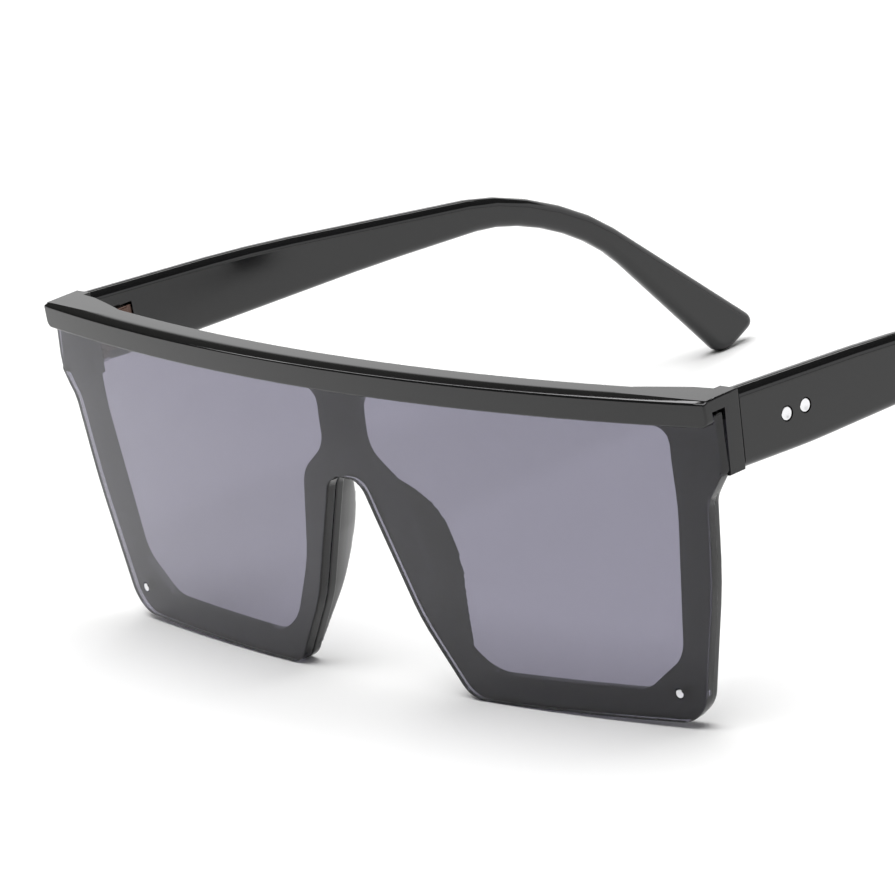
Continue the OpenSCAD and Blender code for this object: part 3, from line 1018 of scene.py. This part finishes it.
def lens_rivet_head(name, radius):
    """The right lens rivet's head, square to the curved lens and hardly proud of it."""
    turn = math.asin(LENS_RIVET_X / radius)
    inward = Vector((-math.sin(turn), math.cos(turn), 0))
    start = Vector((0, radius, LENS_RIVET_Z)) - inward * (radius - LENS_FRONT + LENS_RIVET_PROUD)
    return rivet_head(name, LENS_RIVET_R, LENS_RIVET_H, start, inward)


class SUNGLASSES_OT_rivets(bpy.types.Operator):
    """Builds the silver rivets of the lens and of both temples"""

    bl_idname = "sunglasses.rivets"
    bl_label = "Rivets"

    def execute(self, context):
        silver = metal("Polished silver", context.scene.sunglasses_metal.silver, roughness=0.16)
        right = lens_rivet_head("lens_rivet_head_right", context.scene.sunglasses_front.curve_radius / MM)
        left = mirrored(right, "lens_rivet_head_left")
        for piece, side in ((left, "left"), (right, "right")):
            finish(piece, silver, FRONT_BODY, "rivet_metal", f"{side}_lens_rivet")
        for place, y in (("front", RIVET_Y), ("rear", RIVET_Y + RIVET_PITCH)):
            right = rivet_head(f"temple_{place}_rivet_head_right", RIVET_R, RIVET_H,
                               (-RIVET_SINK, y, AXIS_Z), (-1, 0, 0))
            to_temple(right)
            left = mirrored(right, f"temple_{place}_rivet_head_left")
            for piece, side in ((left, "left"), (right, "right")):
                finish(piece, silver, f"{side}_temple_body", "rivet_metal",
                       f"{side}_temple_{place}_rivet")
        return {"FINISHED"}


def add_knuckles(leaf, first, web_start, web_end):
    """Joins every other knuckle to a hinge leaf, each with a web from one corner to another."""
    for index in range(first, KNUCKLE_COUNT, 2):
        low = HINGE_LOW + index * KNUCKLE_PITCH
        knuckle = drum("knuckle", KNUCKLE_R, KNUCKLE_H, (AXIS_X, AXIS_Y, low), (0, 0, 1))
        round_edges(knuckle, HINGE_EDGE_R, segments=2)
        web = block("web", (*web_start, low + WEB_PLAY), (*web_end, low + KNUCKLE_H - WEB_PLAY))
        combine(knuckle, web, "UNION")
        combine(leaf, knuckle, "UNION")


def bore_leaf(leaf):
    """Bores the screw's hole through a leaf's knuckles."""
    bore = drum("bore", BORE_R, HINGE_H + 2 * OVER, (AXIS_X, AXIS_Y, HINGE_LOW - OVER), (0, 0, 1))
    combine(leaf, bore, "DIFFERENCE")


def front_leaf():
    """The right hinge's front leaf: a plate in the end block, with three knuckles."""
    leaf = block("front_leaf_right", (AXIS_X - FRONT_LEAF_HALF_W, FRONT_LEAF_Y - FRONT_LEAF_T, HINGE_LOW),
                 (AXIS_X + FRONT_LEAF_HALF_W, FRONT_LEAF_Y, HINGE_HIGH))
    round_edges(leaf, HINGE_EDGE_R, segments=2)
    add_knuckles(leaf, 0, (AXIS_X - WEB_HALF_W, FRONT_LEAF_Y - FRONT_LEAF_T / 2),
                 (AXIS_X + WEB_HALF_W, AXIS_Y))
    bore_leaf(leaf)
    return leaf


def temple_leaf():
    """The right hinge's temple leaf: a plate on the temple's inner face, a tail and two knuckles."""
    leaf = block("temple_leaf_right", (-TEMPLE_LEAF_INNER, TEMPLE_LEAF_START, HINGE_LOW),
                 (-TEMPLE_LEAF_DEPTH, TEMPLE_LEAF_END, TEMPLE_LEAF_TOP))
    round_edges(leaf, TEMPLE_LEAF_EDGE_R, segments=3)
    tail = block("tail", (-TAIL_INNER, TAIL_START, AXIS_Z - TAIL_HALF_H),
                 (-TAIL_OUTER, TAIL_END, AXIS_Z + TAIL_HALF_H))
    combine(leaf, tail, "UNION")
    to_temple(leaf)
    add_knuckles(leaf, 1, (AXIS_X, TEMPLE_WEB_START), (TEMPLE_WEB_SIDE, TEMPLE_WEB_END))
    bore_leaf(leaf)
    return leaf


def hinge_screw():
    """The right hinge's screw, with a slot in its head."""
    screw = drum("hinge_screw_right", SCREW_HEAD_R, SCREW_HEAD_H,
                 (AXIS_X, AXIS_Y, SCREW_LOW), (0, 0, 1))
    round_edges(screw, SCREW_EDGE_R, segments=3)
    slot = block("slot", (AXIS_X - SLOT_HALF_L, AXIS_Y - SLOT_HALF_W, SCREW_LOW - OVER),
                 (AXIS_X + SLOT_HALF_L, AXIS_Y + SLOT_HALF_W, SCREW_LOW + SLOT_DEPTH))
    combine(screw, slot, "DIFFERENCE")
    shank = drum("shank", SHANK_R, SHANK_H, (AXIS_X, AXIS_Y, SCREW_LOW + SCREW_HEAD_H / 2), (0, 0, 1))
    combine(screw, shank, "UNION")
    return screw


class SUNGLASSES_OT_hinges(bpy.types.Operator):
    """Builds the leaves and screws of both hinges"""

    bl_idname = "sunglasses.hinges"
    bl_label = "Hinges"

    def execute(self, context):
        settings = context.scene.sunglasses_metal
        # The hinge metal's colour carries painted shade for the leaves' recess, on top of its own dark
        # coppery tone
        copper_and_shade = metal("Coppery hinge metal", settings.copper_and_shade, roughness=0.3)
        steel = metal("Screw steel", settings.steel, roughness=0.22)
        for piece, name, material, slot_name, body in (
                (front_leaf(), "hinge_front_leaf", copper_and_shade, "hinge_metal", None),
                (temple_leaf(), "hinge_temple_leaf", copper_and_shade, "hinge_metal", "temple_body"),
                (hinge_screw(), "hinge_screw", steel, "screw_metal", None)):
            outward(piece)
            left = mirrored(piece, piece.name.replace("right", "left"))
            for made, side in ((left, "left"), (piece, "right")):
                rides_on = f"{side}_{body}" if body else FRONT_BODY
                finish(made, material, rides_on, slot_name, f"{side}_{name}")
        return {"FINISHED"}


# The studio


def softbox(name, place, aim, size, power):
    """A rectangular lamp in metres that faces a point."""
    bpy.ops.object.select_all(action="DESELECT")
    turn = (Vector(aim) - Vector(place)).to_track_quat("-Z", "Y").to_euler()
    bpy.ops.object.light_add(type="AREA", location=place, rotation=turn)
    lamp = bpy.context.active_object
    lamp.name = name
    lamp.data.shape = "RECTANGLE"
    lamp.data.size, lamp.data.size_y = size
    lamp.data.energy = power


def surround(scene):
    """The surroundings that the plastic reflects."""
    world = bpy.data.worlds.new("Studio surroundings")
    scene.world = world
    world.use_nodes = True
    nodes, links = world.node_tree.nodes, world.node_tree.links
    place = nodes.new("ShaderNodeTexCoord")
    height = nodes.new("ShaderNodeVectorMath")
    height.operation = "DOT_PRODUCT"
    height.inputs[1].default_value = RING_TILT
    ring = nodes.new("ShaderNodeValToRGB")
    white, dark = ring.color_ramp.elements
    white.position = RING_WHITE_UP_TO
    white.color = (1, 1, 1, 1)
    dark.position = RING_DARK_FROM
    dark.color = (*RING_DARK, 1)
    sky = nodes["Background"]
    sky.inputs["Strength"].default_value = RING_STRENGTH
    links.new(place.outputs["Generated"], height.inputs[0])
    links.new(height.outputs["Value"], ring.inputs["Fac"])
    links.new(ring.outputs["Color"], sky.inputs["Color"])


def place_camera(scene):
    """The camera, at the angle of the photograph."""
    bpy.ops.object.camera_add()
    camera = bpy.context.active_object
    camera.name = "studio_camera"
    camera.data.sensor_width = 36
    camera.data.lens = scene.sunglasses_studio.focal_length
    camera.data.clip_start = 0.05
    back = CAMERA_RIGHT.cross(CAMERA_UP).normalized()
    up = back.cross(CAMERA_RIGHT).normalized()
    view = Matrix((CAMERA_RIGHT, up, back)).transposed().to_4x4()
    view.translation = CAMERA_PLACE * MM
    camera.matrix_world = view
    scene.camera = camera


class SUNGLASSES_OT_studio(bpy.types.Operator):
    """Sets up the pale floor, the soft light and the camera"""

    bl_idname = "sunglasses.studio"
    bl_label = "Studio"

    def execute(self, context):
        settings = context.scene.sunglasses_studio
        bpy.ops.object.select_all(action="DESELECT")
        bpy.ops.mesh.primitive_plane_add(size=12, location=(0, 0, 0))
        floor = context.active_object
        floor.name = "studio_floor"
        floor.data.materials.append(pale_floor())
        softbox("overhead_softbox", place=(0, 0, 1.1), aim=(0, 0, 0), size=(1.3, 1.3),
                power=settings.softbox_power)
        softbox("left_strip", place=(-0.91, 0.36, 0.86), aim=(0, 0, 0.03), size=(1.6, 0.11),
                power=settings.strip_power)
        surround(context.scene)
        place_camera(context.scene)
        context.scene.view_settings.view_transform = "Standard"
        return {"FINISHED"}


class SUNGLASSES_PT_panel(bpy.types.Panel):
    """The sidebar panel with the sizes, the colours and the build steps"""

    bl_label = "Sunglasses"
    bl_idname = "SUNGLASSES_PT_panel"
    bl_space_type = "VIEW_3D"
    bl_region_type = "UI"
    bl_category = "Sunglasses"

    def draw(self, context):
        layout = self.layout
        for group, operators in STEPS:
            box = layout.box()
            settings = getattr(context.scene, group)
            for name in settings.__annotations__:
                box.prop(settings, name)
            for operator in operators:
                box.operator(operator)


STEPS = (
    ("sunglasses_front", ("sunglasses.front",)),
    ("sunglasses_lens", ("sunglasses.lens",)),
    ("sunglasses_temple", ("sunglasses.temples",)),
    ("sunglasses_metal", ("sunglasses.rivets", "sunglasses.hinges")),
    ("sunglasses_studio", ("sunglasses.studio",)),
)
GROUPS = {
    "sunglasses_front": SunglassesFrontSettings,
    "sunglasses_lens": SunglassesLensSettings,
    "sunglasses_temple": SunglassesTempleSettings,
    "sunglasses_metal": SunglassesMetalSettings,
    "sunglasses_studio": SunglassesStudioSettings,
}
CLASSES = (
    *GROUPS.values(),
    SUNGLASSES_OT_front,
    SUNGLASSES_OT_lens,
    SUNGLASSES_OT_temples,
    SUNGLASSES_OT_rivets,
    SUNGLASSES_OT_hinges,
    SUNGLASSES_OT_studio,
    SUNGLASSES_PT_panel,
)


def register():
    for made in CLASSES:
        bpy.utils.register_class(made)
    for name, group in GROUPS.items():
        setattr(bpy.types.Scene, name, PointerProperty(type=group))


def unregister():
    for name in GROUPS:
        delattr(bpy.types.Scene, name)
    for made in reversed(CLASSES):
        bpy.utils.unregister_class(made)


def main():
    register()
    for _, operators in STEPS:
        for operator in operators:
            group, name = operator.split(".")
            getattr(getattr(bpy.ops, group), name)()
    bpy.context.view_layer.update()


if __name__ == "__main__":
    main()
